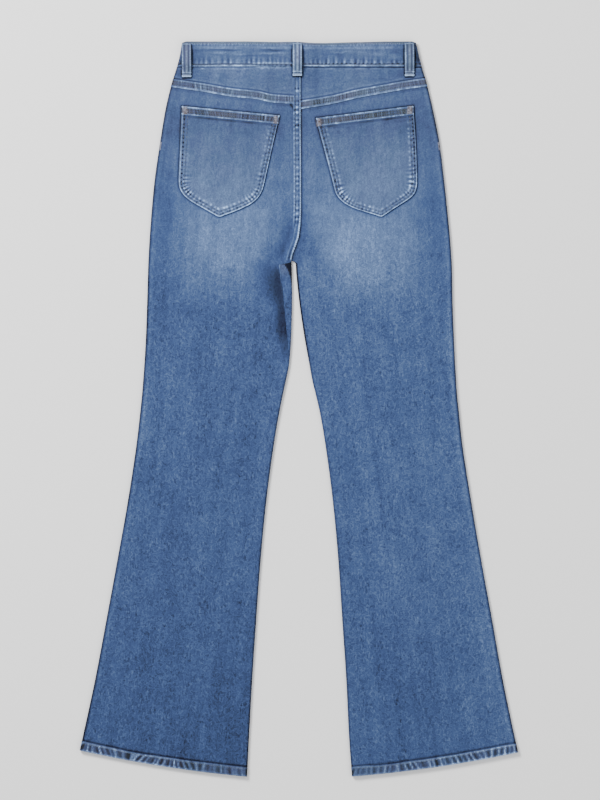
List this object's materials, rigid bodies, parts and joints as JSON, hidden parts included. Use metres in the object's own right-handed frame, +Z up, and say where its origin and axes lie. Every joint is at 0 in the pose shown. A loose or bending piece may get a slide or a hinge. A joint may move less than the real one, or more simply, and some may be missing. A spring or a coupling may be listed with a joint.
{
  "type": "jeans laid flat",
  "caption": "High-waist flared denim jeans laid flat, back up, with yoke, two patch pockets and belt loops.",
  "frame": {"origin": "centre of the garment's outline, on the surface that it lies on", "axes": "+Z up out of the back of the garment, +Y from the hems towards the waist, +X towards the wearer's right side"},
  "size_m": [0.658, 1.1028, 0.0161],
  "materials": {
    "denim": "matte",
    "denim_trim": "matte",
    "button_metal": "satin"
  },
  "bodies": {
    "root": {"front_leg_left": "denim", "front_leg_right": "denim", "front_pocket_facing_left": "denim", "front_pocket_facing_right": "denim", "back_leg_left": "denim", "back_leg_right": "denim", "yoke_left": "denim", "yoke_right": "denim", "back_pocket_left": "denim", "back_pocket_right": "denim", "waistband": "denim", "belt_loop_front_left": "denim_trim", "belt_loop_front_right": "denim_trim", "belt_loop_back_left": "denim_trim", "belt_loop_back": "denim_trim", "belt_loop_back_right": "denim_trim", "front_button": "button_metal"}
  },
  "joints": []
}
